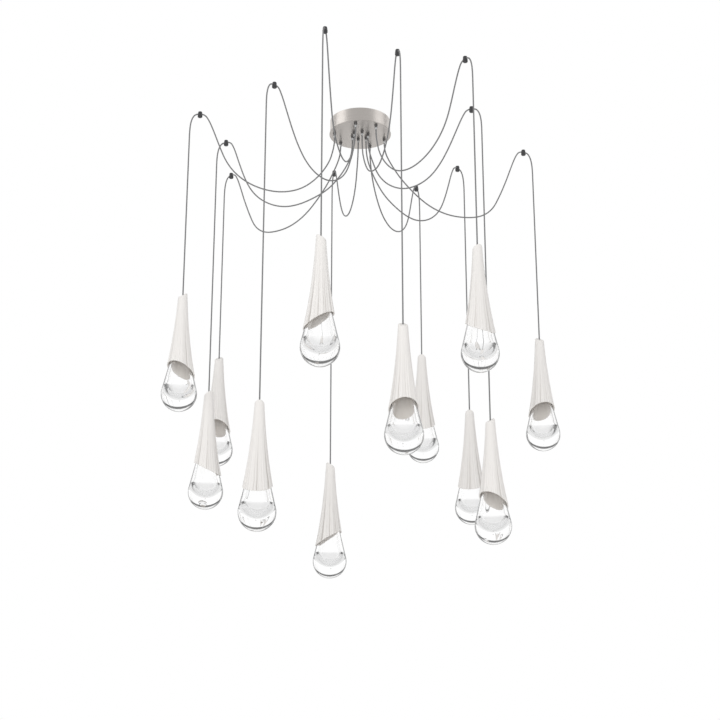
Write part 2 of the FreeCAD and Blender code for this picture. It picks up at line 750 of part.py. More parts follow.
def ball_arc(sketch, radius, bottom, rise):
    """An arc about the axis, from its lowest point out to a rise above its centre."""
    middle = value(bottom) - value(radius)
    circle = Part.Circle(Vector(0, -middle, 0), Vector(0, 0, 1), value(radius))
    arc = sketch.addGeometry(Part.ArcOfCircle(circle, -math.pi / 2, math.asin(rise / value(radius))))
    rest_on(sketch, arc, CENTRE, UPRIGHT_AXIS)
    rest_on(sketch, arc, START, UPRIGHT_AXIS)
    set_radius(sketch, arc, radius)
    pin_depth(sketch, arc, START, bottom)
    return arc


glass, profile = new_profile("glass_drop")
ball = ball_arc(profile, "glass_ball_radius", "glass_bottom_depth", value("glass_shoulder_rise"))
pin_depth(profile, ball, END, "shoulder_depth")
# the cavity's cone touches its bowl a little above the bowl's centre
cavity = ball_arc(profile, "cavity_ball_radius", "cavity_bottom_depth", 0)
shoulder = profile.getPoint(ball, END)
cavity_shoulder = profile.getPoint(cavity, END)
neck_top = spot("glass_neck_radius", "glass_top_depth")
neck_top_inner = spot("glass_neck_inner", "glass_top_depth")
neck_end = spot("glass_neck_radius", "glass_neck_end_depth")
neck_end_inner = spot("glass_neck_inner", "glass_neck_end_depth")
mouth = line(profile, neck_top_inner, neck_top)
neck_line = line(profile, neck_top, neck_end)
cone_line = line(profile, neck_end, shoulder)
base_line = line(profile, profile.getPoint(ball, START), profile.getPoint(cavity, START))
cone_inner = line(profile, cavity_shoulder, neck_end_inner)
neck_inner = line(profile, neck_end_inner, neck_top_inner)
join(profile, mouth, END, neck_line, START)
join(profile, neck_line, END, cone_line, START)
join(profile, cone_line, END, ball, END)
join(profile, base_line, START, ball, START)
join(profile, base_line, END, cavity, START)
join(profile, cone_inner, END, neck_inner, START)
join(profile, neck_inner, END, mouth, START)
pin(profile, mouth, START, "glass_neck_inner", "glass_top_depth")
pin(profile, mouth, END, "glass_neck_radius", "glass_top_depth")
pin(profile, neck_line, END, "glass_neck_radius", "glass_neck_end_depth")
pin(profile, cone_inner, END, "glass_neck_inner", "glass_neck_end_depth")
profile.addConstraint(Sketcher.Constraint("Tangent", cone_inner, START, cavity, END))
turn_profile(glass, profile)

# Lamp unit: a cord anchor on a heat sink, with a board, a lens and a collar for the glass

anchor = cylinder("anchor", "sizes.anchor_radius", "sizes.sink_top_depth - sizes.shade_seat_depth",
                  "-sizes.shade_seat_depth")
sink = cylinder("sink", "follows.sink_radius", "follows.flange_top_depth - sizes.sink_top_depth",
                "-sizes.sink_top_depth")
flange = cylinder("flange", "follows.flange_radius", "sizes.flange_thickness", "-follows.flange_top_depth")
anchor_hole = cylinder("anchor_hole", "follows.shade_hole_radius", "sizes.anchor_hole_depth",
                       "-sizes.shade_seat_depth")
heat_sink = cut("heat_sink", fuse("sink_blank", [anchor, sink, flange]), anchor_hole)
board = cylinder("board", "sizes.board_radius", "sizes.board_thickness", "-sizes.glass_top_depth")
lens = cone("lens", "sizes.board_radius", "sizes.lens_end_radius", "sizes.lens_height",
            "-sizes.glass_top_depth - sizes.board_thickness")
collar = cut("collar",
             cylinder("collar_blank", "follows.flange_radius", "sizes.collar_height",
                      "-sizes.glass_top_depth"),
             cylinder("collar_bore", "follows.collar_bore_radius", "sizes.collar_height",
                      "-sizes.glass_top_depth"))
lamp = group("lamp", [heat_sink, board, lens, collar])

# The twelve drops: a straight cord and a pendant under it

for number, (kind, sector) in enumerate(DROPS, start=1):
    radius = f"sizes.hook_radius_{kind} + sizes.drop_offset"
    angle = angle_of(kind, sector)
    cord_top = "sizes.pivot_depth + sizes.pivot_gap / 2"
    cord = cylinder(f"drop_cord_{number:02}", "sizes.cord_radius",
                    f"sizes.drop_{kind} + sizes.cord_end_depth - ({cord_top})", f"-({cord_top})")
    bind(cord, **{"Placement.Base.x": f"({radius}) * cos({angle})",
                  "Placement.Base.y": f"({radius}) * sin({angle})"})
    nodes.append(cord)
    for name, master in (("shade", shade), ("glass", glass), ("lamp_unit", lamp)):
        nodes.append(placed(f"{name}_{number:02}", master, radius, angle, f"sizes.drop_{kind}",
                            f"sizes.turn_{number:02}"))

# Check and write every node

doc.recompute()
for item in doc.Objects:
    if "Invalid" in item.State or "Error" in item.State:
        raise RuntimeError(f"{item.Name} did not build: {item.State}")
os.makedirs("parts", exist_ok=True)
for node in nodes:
    node.Label = node.Name
    if node.Shape.isNull() or not node.Shape.isValid():
        raise RuntimeError(f"{node.Name} has no valid shape")
    node.Shape.exportStep(f"parts/{node.Label}.step")
    bounds = node.Shape.BoundBox
    print(f"{node.Label}: {len(node.Shape.Solids)} solids, volume {node.Shape.Volume:.0f}, "
          f"z {bounds.ZMin:.1f} to {bounds.ZMax:.1f}")
print(len(nodes), "nodes")
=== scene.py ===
# %% [markdown]
# # A swag chandelier, dressed piece by piece
# A round canopy on the ceiling feeds twelve cords. Each cord sags in a swag, runs over a ceiling clip
# and carries a clear glass drop in a white ribbed shade. The construction comes ready made as a frame
# of nodes at their real size, in metres, with the origin at the middle of the canopy on the ceiling.
# This lesson adds what the eye sees: ribs, glass, cords and finishes. Nothing of the frame is moved.

# %% Load the frame
import json
import math
import random

import bpy
from mathutils import Matrix, Vector, noise


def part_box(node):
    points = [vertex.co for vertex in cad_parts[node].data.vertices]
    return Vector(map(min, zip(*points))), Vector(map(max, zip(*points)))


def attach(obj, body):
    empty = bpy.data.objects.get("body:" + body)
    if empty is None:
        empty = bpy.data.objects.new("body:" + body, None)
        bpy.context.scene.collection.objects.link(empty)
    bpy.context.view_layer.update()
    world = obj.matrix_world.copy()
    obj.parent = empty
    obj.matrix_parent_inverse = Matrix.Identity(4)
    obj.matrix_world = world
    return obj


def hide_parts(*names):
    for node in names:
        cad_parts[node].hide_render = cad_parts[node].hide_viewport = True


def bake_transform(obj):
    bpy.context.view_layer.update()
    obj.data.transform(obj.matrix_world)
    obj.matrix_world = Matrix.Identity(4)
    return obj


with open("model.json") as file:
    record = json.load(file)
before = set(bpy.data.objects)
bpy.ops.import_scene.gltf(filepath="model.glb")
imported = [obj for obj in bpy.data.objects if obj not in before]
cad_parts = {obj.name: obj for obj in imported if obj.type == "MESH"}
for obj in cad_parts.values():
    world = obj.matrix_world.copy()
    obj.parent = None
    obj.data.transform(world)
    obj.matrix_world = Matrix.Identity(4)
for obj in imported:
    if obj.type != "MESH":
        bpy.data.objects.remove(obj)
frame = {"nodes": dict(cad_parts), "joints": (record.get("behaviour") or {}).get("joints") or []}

scene = bpy.context.scene
nodes = frame["nodes"]
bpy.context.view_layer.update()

# %% [markdown]
# ## The camera
# The picture was taken from below and in front, looking up at the canopy with a long lens. The place of
# the camera was worked out from the twelve clips, which all lie on the level of the ceiling. A camera
# points along its own -Z, so a quarter turn about X makes it look along +Y, and a little more tips it up.

# %% Camera
CAMERA_PLACE = (-0.0005, -4.0623, -2.1646)
CAMERA_TIP = math.radians(19.22)
LENS_MM = 76.58
SENSOR_MM = 36

camera = bpy.data.objects.new("camera", bpy.data.cameras.new("camera"))
camera.data.lens = LENS_MM
camera.data.sensor_width = SENSOR_MM
camera.location = CAMERA_PLACE
camera.rotation_euler = (math.pi / 2 + CAMERA_TIP, 0, 0)
scene.collection.objects.link(camera)
scene.camera = camera
print("camera", tuple(camera.location))

# %% [markdown]
# ## The places of the twelve drops
# The frame knows where each drop hangs: its swing joint sits on the cord, a hand's width under the
# ceiling. From that point come the way the cord runs outward from the canopy and the height of the
# shade. Four kinds of swag repeat three times round the canopy.

# %% Places of the drops
KINDS = "abcd"
SECTORS = 3
GLASS_BOTTOM_DEPTH = 0.349
joints = {joint["name"]: joint for joint in frame["joints"]}


def place_of(number):
    """Name, kind, pivot, outward direction and shade height of one drop."""
    name = f"{number:02}"
    pivot = Vector(joints[f"swing_{name}"]["pos_m"])
    return {
        "name": name,
        "kind": KINDS[(number - 1) // SECTORS],
        "pivot": pivot,
        "outward": Vector((pivot.x, pivot.y, 0)).normalized(),
        "shade_top": Vector((pivot.x, pivot.y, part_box(f"glass_{name}")[0].z + GLASS_BOTTOM_DEPTH)),
    }


drops = [place_of(number) for number in range(1, SECTORS * len(KINDS) + 1)]
print("shade heights", sorted({round(drop["shade_top"].z, 3) for drop in drops}))

# %% [markdown]
# ## Helpers for shaders
# Finishes and the sky are trees of nodes. A few short functions keep the later cells easy to read: one links
# sockets, one makes a colour ramp from its stops, and the others make the number, vector and colour nodes
# that are needed most often. Each node could be written out by hand as well, but that would bury what a
# finish does.

# %% Helpers for shaders


def wire(tree, *pairs):
    """Links sockets of a node tree, given as (node, output, node, input)."""
    for source, output, target, entry in pairs:
        tree.links.new(source.outputs[output], target.inputs[entry])


def ramp(tree, stops):
    """A colour ramp, with its stops given as (place, grey level or colour)."""
    node = tree.nodes.new("ShaderNodeValToRGB")
    while len(node.color_ramp.elements) < len(stops):
        node.color_ramp.elements.new(0.5)
    for element, (place, tone) in zip(node.color_ramp.elements, stops):
        element.position = place
        colour = tone if isinstance(tone, tuple) else (tone, tone, tone)
        element.color = (*colour, 1)
    return node


def from_signed(tree):
    """A node that maps -1 to 1 onto 0 to 1."""
    node = tree.nodes.new("ShaderNodeMapRange")
    node.inputs["From Min"].default_value = -1
    return node


def value_node(tree, operation, first=None, second=None):
    """A maths node with any plain numbers set on its sockets."""
    node = tree.nodes.new("ShaderNodeMath")
    node.operation = operation
    for entry, number in enumerate((first, second)):
        if number is not None:
            node.inputs[entry].default_value = number
    return node


def vector_node(tree, operation, second=None):
    """A vector maths node with any plain second value set on its socket."""
    node = tree.nodes.new("ShaderNodeVectorMath")
    node.operation = operation
    if second is not None:
        node.inputs[1].default_value = second
    return node


def colour_mix(tree, blend="MIX"):
    """A node that mixes two colours."""
    node = tree.nodes.new("ShaderNodeMix")
    node.data_type = "RGBA"
    node.blend_type = blend
    return node


print("helpers for number, vector and colour nodes")

# %% [markdown]
# ## The studio
# The picture is a studio shot on pure white. Clear glass on white is lit as a bright field: the field behind
# it is white, and dark flags beside and above it are what its rounded edges bend into view as fine grey
# lines. Black cards could stand round the object. Here the sky is dark in their directions instead, which
# casts no stray shadows. The eye itself sees plain white on every side, and only glass and metal show the
# flags.

# %% World
FLAG_ABOVE, FLAG_BESIDE, FIELD = 0.11, 0.22, 1.07
# stops by tilt: 0.5 is straight ahead and 0.75 is overhead
ABOVE_STOPS = [(0.45, 0.80), (0.495, 1.0), (0.640, 1.0), (0.647, FLAG_ABOVE), (0.671, FLAG_ABOVE),
               (0.684, 0.97)]
# stops by turn: 1 is straight ahead and 0 is straight behind
BESIDE_STOPS = [(0.24, 0.70), (0.32, FLAG_BESIDE), (0.68, FLAG_BESIDE), (0.75, FIELD)]
# below the horizon, between these two heights, the flags beside come nearer to the middle by a shift
NEARER_START, NEARER_END, NEARER_SHIFT = -0.03, -0.10, 0.23

world = bpy.data.worlds.new("studio")
world.use_nodes = True
scene.world = world
scene.view_settings.view_transform = "Standard"

sky = world.node_tree
direction = sky.nodes.new("ShaderNodeTexCoord")
parts = sky.nodes.new("ShaderNodeSeparateXYZ")
# tilt from straight ahead, up over the top and down below
tilt = value_node(sky, "ARCTAN2")
tilt_share = from_signed(sky)
tilt_share.inputs["From Min"].default_value = -math.pi
tilt_share.inputs["From Max"].default_value = math.pi
flag_above = ramp(sky, ABOVE_STOPS)
# cosine of the turn to either side, which is 1 straight ahead and -1 straight behind
level = vector_node(sky, "MULTIPLY", (1, 1, 0))
heading = vector_node(sky, "NORMALIZE")
ahead = sky.nodes.new("ShaderNodeSeparateXYZ")
ahead_share = from_signed(sky)
nearer = sky.nodes.new("ShaderNodeMapRange")
nearer.inputs["From Min"].default_value = NEARER_START
nearer.inputs["From Max"].default_value = NEARER_END
nearer.inputs["To Max"].default_value = NEARER_SHIFT
shifted = value_node(sky, "SUBTRACT")
flags_beside = ramp(sky, BESIDE_STOPS)
both = colour_mix(sky, "MULTIPLY")
both.inputs["Factor"].default_value = 1
# plain white for the eye itself
looking = sky.nodes.new("ShaderNodeLightPath")
backdrop = colour_mix(sky)
backdrop.inputs["B"].default_value = (1, 1, 1, 1)
wire(sky, (direction, "Generated", parts, "Vector"), (parts, "Z", tilt, 0), (parts, "Y", tilt, 1),
     (tilt, 0, tilt_share, "Value"), (tilt_share, "Result", flag_above, "Fac"),
     (direction, "Generated", level, 0), (level, "Vector", heading, 0),
     (heading, "Vector", ahead, "Vector"), (ahead, "Y", ahead_share, "Value"),
     (parts, "Z", nearer, "Value"), (ahead_share, "Result", shifted, 0), (nearer, "Result", shifted, 1),
     (shifted, 0, flags_beside, "Fac"), (flags_beside, "Color", both, "A"),
     (flag_above, "Color", both, "B"), (both, "Result", backdrop, "A"),
     (looking, "Is Camera Ray", backdrop, "Factor"), (backdrop, "Result", sky.nodes["Background"], "Color"))
print("world", world.name)

# %% [markdown]
# ## Soft lamps
# Three large square lamps stand for soft boxes: one on each side, which put the two bright streaks on the
# canopy's band, and one in front, which lights the shades. A small lamp would draw hard shadows. The front
# one isn't shown in gloss, because its image would sit in the middle of the metal.

# %% Lamps
LAMP_WIDTH = 3.0
# place and target in metres, and power in watts
LAMPS = {
    "key_lamp": ((-3.9, -0.6, 1.4), (0, 0, -0.6), 41),
    "fill_lamp": ((3.9, -0.6, 1.4), (0, 0, -0.6), 32),
    "front_lamp": ((-0.6, -5.0, -0.8), (0, 0, -0.7), 86),
}


def soft_lamp(name, place, target, watts):
    """A square soft lamp that faces a target and isn't seen through glass."""
    data = bpy.data.lights.new(name, "AREA")
    data.size = LAMP_WIDTH
    data.energy = watts
    lamp = bpy.data.objects.new(name, data)
    lamp.location = place
    lamp.rotation_euler = (Vector(target) - Vector(place)).to_track_quat("-Z", "Y").to_euler()
    lamp.visible_transmission = False
    scene.collection.objects.link(lamp)
    return lamp


lamps = {name: soft_lamp(name, *setting) for name, setting in LAMPS.items()}
lamps["front_lamp"].visible_glossy = False
print("lamps", list(lamps))

# %% [markdown]
# ## The floor
# A plain pale disc closes the room from below. It is a light table that glows a little, so it lights the
# undersides. The camera looks up and never sees it directly, but the thick bases of the glasses show it.
# A lamp from below would do the same for the shades, but the glasses would show nothing there.

# %% Floor
FLOOR_HEIGHT = -3.0
FLOOR_RADIUS = 3.2
FLOOR_SIDES = 128
FLOOR_TONE, FLOOR_GLOW = 0.60, 0.30


def new_mesh(name, corners, faces):
    """A mesh from corner points and faces."""
    mesh = bpy.data.meshes.new(name)
    mesh.from_pydata([tuple(corner) for corner in corners], [], faces)
    mesh.update()
    return mesh


def new_piece(name, mesh, material):
    """An object in the scene, whose mesh gets the material unless it has one."""
    piece = bpy.data.objects.new(name, mesh)
    if not mesh.materials:
        mesh.materials.append(material)
    scene.collection.objects.link(piece)
    return piece


def new_finish(name, colour, roughness, metallic=0.0):
    """A material with one main shader whose plain values are set on its own sockets."""
    finish = bpy.data.materials.new(name)
    finish.use_nodes = True
    shader = finish.node_tree.nodes["Principled BSDF"]
    shader.inputs["Base Color"].default_value = (*colour, 1)
    shader.inputs["Roughness"].default_value = roughness
    shader.inputs["Metallic"].default_value = metallic
    return finish, finish.node_tree, shader


floor_paint, _, floor_shader = new_finish("floor_paint", (FLOOR_TONE,) * 3, roughness=0.8)
floor_shader.inputs["Emission Color"].default_value = (1.0, 1.0, 1.0, 1)
floor_shader.inputs["Emission Strength"].default_value = FLOOR_GLOW
floor_turns = [2 * math.pi * step / FLOOR_SIDES for step in range(FLOOR_SIDES)]
floor_corners = [(FLOOR_RADIUS * math.cos(turn), FLOOR_RADIUS * math.sin(turn), FLOOR_HEIGHT)
                 for turn in floor_turns]
floor = new_piece("floor", new_mesh("floor", floor_corners, [tuple(range(FLOOR_SIDES))]), floor_paint)
print("floor at", FLOOR_HEIGHT)

# %% [markdown]
# ## Metal
# The canopy is brushed nickel, with fine marks that run round its axis, as a lathe or a turning brush leaves
# them. Noise that is drawn on the distance from the axis and on the height makes such rings. It varies the
# roughness, so that the reflections of the bright room break up into soft bands. The plain plated and coated
# pieces have an even grain instead.

# %% Metal finishes
# noise keeps mostly between these two values
NOISE_LOW, NOISE_HIGH = 0.3, 0.7
TURNING_SCALE, TURNING_BUMP, TURNING_DEPTH = 1600, 0.02, 0.0001
GRAIN_BUMP, GRAIN_DARK, GRAIN_LIGHT = 0.2, 0.85, 1.1


def noise_node(tree, scale, detail=2):
    """A noise node with its fineness and detail set."""
    node = tree.nodes.new("ShaderNodeTexNoise")
    node.inputs["Scale"].default_value = scale
    node.inputs["Detail"].default_value = detail
    return node


def bump_node(tree, strength, distance):
    """A bump node with its strength and height set."""
    node = tree.nodes.new("ShaderNodeBump")
    node.inputs["Strength"].default_value = strength
    node.inputs["Distance"].default_value = distance
    return node


def axis_distance(tree, place):
    """A node that gives the distance of a place from the upright axis of its piece."""
    flat = vector_node(tree, "MULTIPLY", (1, 1, 0))
    reach = vector_node(tree, "LENGTH")
    wire(tree, (place, "Object", flat, 0), (flat, "Vector", reach, 0))
    return reach


def lathe_marks(tree, scale):
    """Noise in thin rings round the upright axis of a piece."""
    place = tree.nodes.new("ShaderNodeTexCoord")
    reach = axis_distance(tree, place)
    parts = tree.nodes.new("ShaderNodeSeparateXYZ")
    ring = tree.nodes.new("ShaderNodeCombineXYZ")
    marks = noise_node(tree, scale, detail=3)
    wire(tree, (place, "Object", parts, "Vector"), (reach, "Value", ring, "X"), (parts, "Z", ring, "Y"),
         (ring, "Vector", marks, "Vector"))
    return marks


def turned_metal(name, colour, smooth, rough):
    """Metal whose roughness and surface follow the marks of turning."""
    finish, tree, shader = new_finish(name, colour, smooth, metallic=1.0)
    marks = lathe_marks(tree, TURNING_SCALE)
    spread = tree.nodes.new("ShaderNodeMapRange")
    spread.inputs["From Min"].default_value = NOISE_LOW
    spread.inputs["From Max"].default_value = NOISE_HIGH
    spread.inputs["To Min"].default_value = smooth
    spread.inputs["To Max"].default_value = rough
    bump = bump_node(tree, TURNING_BUMP, TURNING_DEPTH)
    around = tree.nodes.new("ShaderNodeTangent")
    around.direction_type = "RADIAL"
    shader.inputs["Anisotropic"].default_value = 0.6
    wire(tree, (marks, "Fac", spread, "Value"), (spread, "Result", shader, "Roughness"),
         (marks, "Fac", bump, "Height"), (bump, "Normal", shader, "Normal"),
         (around, "Tangent", shader, "Tangent"))
    return finish


def grained(name, colour, roughness, metallic, scale, depth):
    """A plain finish with a fine grain in its tone and surface."""
    finish, tree, shader = new_finish(name, colour, roughness, metallic)
    place = tree.nodes.new("ShaderNodeTexCoord")
    grain = noise_node(tree, scale, detail=4)
    dark = tuple(GRAIN_DARK * part for part in colour)
    light = tuple(min(1.0, GRAIN_LIGHT * part) for part in colour)
    tone = ramp(tree, [(NOISE_LOW, dark), (NOISE_HIGH, light)])
    bump = bump_node(tree, GRAIN_BUMP, depth)
    wire(tree, (place, "Object", grain, "Vector"), (grain, "Fac", tone, "Fac"),
         (tone, "Color", shader, "Base Color"), (grain, "Fac", bump, "Height"),
         (bump, "Normal", shader, "Normal"))
    return finish


nickel = turned_metal("satin_nickel", (0.59, 0.555, 0.525), smooth=0.27, rough=0.36)
zinc = grained("zinc_plate", (0.62, 0.63, 0.64), roughness=0.38, metallic=1.0, scale=400, depth=0.0001)
moulded = grained("moulded_case", (0.78, 0.78, 0.76), roughness=0.55, metallic=0.0, scale=900, depth=0.0001)
charcoal = grained("charcoal_coat", (0.045, 0.045, 0.048), roughness=0.42, metallic=0.0, scale=1500,
                   depth=0.00005)
gunmetal = grained("charcoal_plate", (0.32, 0.32, 0.325), roughness=0.30, metallic=1.0, scale=1500,
                   depth=0.00005)
print("finishes", [finish.name for finish in (nickel, zinc, moulded, charcoal, gunmetal)])

# %% [markdown]
# ## Dress the fixed pieces
# The canopy, its bar, screws and driver, the grips and the clips are good as the frame has them, so they
# only get their finishes. New meshes would add nothing that the eye could see. The tips under the grips are
# short sleeves of clear plastic that look pale and cloudy.

# %% Finishes of the fixed pieces


def cloudy_finish():
    """Clear plastic that scatters some of the light and has uneven gloss."""
    finish, tree, shader = new_finish("cloudy_plastic", (0.86, 0.87, 0.87), roughness=0.3)
    shader.inputs["Transmission Weight"].default_value = 0.35
    place = tree.nodes.new("ShaderNodeTexCoord")
    cloud = noise_node(tree, scale=700)
    haze = ramp(tree, [(NOISE_LOW, 0.22), (NOISE_HIGH, 0.4)])
    wire(tree, (place, "Object", cloud, "Vector"), (cloud, "Fac", haze, "Fac"),
         (haze, "Color", shader, "Roughness"))
    return finish


FIXED_FINISHES = {
    "canopy_band": nickel, "face_plate": nickel, "face_nuts": zinc, "mounting_bar": zinc,
    "side_screws": zinc, "led_driver": moulded, "cord_grips": gunmetal, "grip_nuts": zinc,
    "grip_tips": cloudy_finish(), "hook_bases": charcoal, "hook_caps": charcoal,
}
for name, finish in FIXED_FINISHES.items():
    nodes[name].data.materials.clear()
    nodes[name].data.materials.append(finish)
print("dressed", len(FIXED_FINISHES), "fixed nodes")

# %% [markdown]
# ## Cords
# Each cord is one limp round lead. It comes out of a grip under the canopy, sags in a swag, climbs to its
# clip, passes through it and hangs straight under the weight of its glass. Listed points in the upright
# plane of the clip steer a smooth spline. The tube is then built on points read back from that spline,
# ring by ring.

# %% Routes of the cords
CORD_RADIUS = 0.002
CORD_END_DEPTH = 0.028
DROP_OFFSET = 0.0285
CLIP_LEVEL = -0.0066

# distance from the canopy's axis and height, in metres
SWAG_POINTS = {
    "a": [(0.076, -0.051), (0.076, -0.070), (0.080, -0.097), (0.091, -0.138), (0.121, -0.186),
          (0.165, -0.226), (0.216, -0.243), (0.268, -0.242), (0.320, -0.225), (0.363, -0.195),
          (0.393, -0.156), (0.414, -0.106), (0.432, -0.058), (0.446, -0.026)],
    "b": [(0.076, -0.051), (0.076, -0.070), (0.082, -0.095), (0.097, -0.122), (0.126, -0.163),
          (0.170, -0.206), (0.219, -0.241), (0.274, -0.259), (0.330, -0.260), (0.384, -0.249),
          (0.424, -0.219), (0.450, -0.168), (0.474, -0.112), (0.494, -0.058), (0.508, -0.025)],
    "c": [(0.024, -0.051), (0.024, -0.070), (0.026, -0.097), (0.034, -0.126), (0.060, -0.168),
          (0.096, -0.206), (0.140, -0.229), (0.189, -0.245), (0.234, -0.247), (0.278, -0.233),
          (0.317, -0.206), (0.345, -0.170), (0.364, -0.128), (0.381, -0.080), (0.391, -0.049),
          (0.400, -0.025)],
    "d": [(0.024, -0.051), (0.024, -0.070), (0.027, -0.098), (0.037, -0.134), (0.055, -0.184),
          (0.087, -0.220), (0.131, -0.238), (0.176, -0.230), (0.213, -0.206), (0.242, -0.169),
          (0.266, -0.125), (0.287, -0.078), (0.300, -0.048), (0.311, -0.025)],
}
# distance beyond the clip and height, through the clip and down to the straight drop
CLIP_POINTS = [(-0.014, CLIP_LEVEL), (0.012, CLIP_LEVEL), (0.022, -0.020), (0.027, -0.041),
               (DROP_OFFSET, -0.06675), (DROP_OFFSET, -0.090)]
LINE_STEPS = 16


def cord_route(drop):
    """The points that steer one cord, from its grip to the inside of its shade."""
    reach = drop["pivot"].xy.length
    clip = reach - DROP_OFFSET
    route = SWAG_POINTS[drop["kind"]] + [(clip + along, height) for along, height in CLIP_POINTS]
    route.append((reach, drop["shade_top"].z - CORD_END_DEPTH))
    return [drop["outward"] * along + Vector((0, 0, height)) for along, height in route]


def smooth_line(points):
    """Points read back from a spline that the given points steer."""
    curve = bpy.data.curves.new("cord_line", "CURVE")
    curve.dimensions = "3D"
    curve.resolution_u = LINE_STEPS
    spline = curve.splines.new("NURBS")
    spline.points.add(len(points) - 1)
    for knot, point in zip(spline.points, points):
        knot.co = (*point, 1)
    spline.order_u = 3
    spline.use_endpoint_u = True
    holder = bpy.data.objects.new("cord_line", curve)
    mesh = bpy.data.meshes.new_from_object(holder)
    line = [vertex.co.copy() for vertex in mesh.vertices]
    bpy.data.objects.remove(holder)
    bpy.data.curves.remove(curve)
    bpy.data.meshes.remove(mesh)
    return line


routes = {drop["name"]: cord_route(drop) for drop in drops}
lines = {name: smooth_line(route) for name, route in routes.items()}


def length_of(line):
    """Length of a line of points, in metres."""
    return sum((after - before).length for before, after in zip(line, line[1:]))


print("cord lengths", {name: round(length_of(line), 3) for name, line in lines.items()})

# %% [markdown]
# ## The braid of the cords
# The leads are covered in a fine grey braid. Sixteen strands cross in two directions, so the pattern is
# the product of two slanted waves. The tube carries a map, once round in U and metres along in V, that
# the waves are drawn on. Colour, roughness and bump all come from that one pattern.

# %% Braided cord finish
# strands each way, and the length of cord on which one goes once round
BRAID_STRANDS = 8
BRAID_PITCH = 0.009


def braid_finish():
    """Grey cloth whose strands cross in two slanted waves."""
    finish, tree, shader = new_finish("braided_cord", (0.2, 0.2, 0.21), roughness=0.75)
    place = tree.nodes.new("ShaderNodeUVMap")
    place.uv_map = "along_cord"
    split = tree.nodes.new("ShaderNodeSeparateXYZ")
    wire(tree, (place, "UV", split, "Vector"))
    waves = []
    for slant in (1, -1):
        round_part = value_node(tree, "MULTIPLY", None, 2 * math.pi * BRAID_STRANDS)
        along_part = value_node(tree, "MULTIPLY", None, slant * 2 * math.pi * BRAID_STRANDS / BRAID_PITCH)
        total = value_node(tree, "ADD")
        wave = value_node(tree, "SINE")
        wire(tree, (split, "X", round_part, 0), (split, "Y", along_part, 0), (round_part, 0, total, 0),
             (along_part, 0, total, 1), (total, 0, wave, 0))
        waves.append(wave)
    weave = value_node(tree, "MULTIPLY")
    tone = ramp(tree, [(0.0, (0.16, 0.16, 0.162)), (0.5, (0.215, 0.215, 0.218)), (1.0, (0.27, 0.27, 0.273))])
    spread = from_signed(tree)
    bump = bump_node(tree, strength=0.35, distance=0.0002)
    wire(tree, (waves[0], 0, weave, 0), (waves[1], 0, weave, 1), (weave, 0, spread, "Value"),
         (spread, "Result", tone, "Fac"), (tone, "Color", shader, "Base Color"),
         (spread, "Result", bump, "Height"), (bump, "Normal", shader, "Normal"))
    shader.inputs["Sheen Weight"].default_value = 0.15
    return finish


cord_finish = braid_finish()
print("cord finish", cord_finish.name)

# %% [markdown]
# ## Tubes for the cords
# A curve with a bevel would make a tube in one step, but its map can't be set in metres. So each tube is
# built ring by ring.

# %% Cord tubes
CORD_SIDES = 12


def cord_tube(name, line, side):
    """A closed round tube on a line that lies in one upright plane, whose level normal is side."""
    corners, faces, mapped = [], [], []
    run = 0.0
    for index, middle in enumerate(line):
        before = line[max(index - 1, 0)]
        after = line[min(index + 1, len(line) - 1)]
        run += (middle - before).length
        across = (after - before).normalized().cross(side)
        for step in range(CORD_SIDES):
            turn = 2 * math.pi * step / CORD_SIDES
            corners.append(middle + (side * math.cos(turn) + across * math.sin(turn)) * CORD_RADIUS)
        mapped.append(run)
    for ring in range(len(line) - 1):
        for step in range(CORD_SIDES):
            following = (step + 1) % CORD_SIDES
            low, high = ring * CORD_SIDES, (ring + 1) * CORD_SIDES
            faces.append((low + step, low + following, high + following, high + step))
    faces.append(tuple(reversed(range(CORD_SIDES))))
    faces.append(tuple(range(len(corners) - CORD_SIDES, len(corners))))
    mesh = new_mesh(name, corners, faces)
    layer = mesh.uv_layers.new(name="along_cord")
    for polygon in mesh.polygons:
        wraps = len(polygon.vertices) == 4
        steps = [vertex % CORD_SIDES for vertex in polygon.vertices]
        for loop, vertex, step in zip(polygon.loop_indices, polygon.vertices, steps):
            past_end = wraps and step == 0 and max(steps) == CORD_SIDES - 1
            layer.data[loop].uv = ((step + CORD_SIDES * past_end) / CORD_SIDES, mapped[vertex // CORD_SIDES])
        polygon.use_smooth = wraps
    return mesh


for drop in drops:
    line = lines[drop["name"]]
    side = drop["outward"].cross(Vector((0, 0, 1)))
    cord = new_piece(f"cord_{drop['name']}", cord_tube(f"cord_{drop['name']}", line, side), cord_finish)
    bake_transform(cord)
    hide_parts("swag_cords", f"drop_cord_{drop['name']}")
print("cords", len(drops))

# %% [markdown]
# ## The shape of a shade
# A shade is a thin flared horn. Outside and inside are each a soft curve, given by three poles: where it
# starts, a pole that it leans towards, and where it ends. Asking such a curve for its radius at a depth
# means solving one quadratic for the place along the curve.

# %% Flares of the shade
# radius and depth under the top, in metres
OUTSIDE = [(0.0122, 0.0), (0.01984, 0.147), (0.04413, 0.258)]
INSIDE = [(0.0103, 0.020), (0.01659, 0.137), (0.04133, 0.258)]


def flare_radius(poles, depth):
    """Radius of a flare at a depth under the top of the shade."""
    (r0, d0), (r1, d1), (r2, d2) = poles
    square, double, single = d0 - 2 * d1 + d2, 2 * (d1 - d0), d0 - depth
    share = (-double + math.sqrt(double ** 2 - 4 * square * single)) / (2 * square)
    return r0 * (1 - share) ** 2 + 2 * r1 * share * (1 - share) + r2 * share ** 2


halfway = OUTSIDE[-1][1] / 2
print("radius outside, halfway down", round(flare_radius(OUTSIDE, halfway), 4))

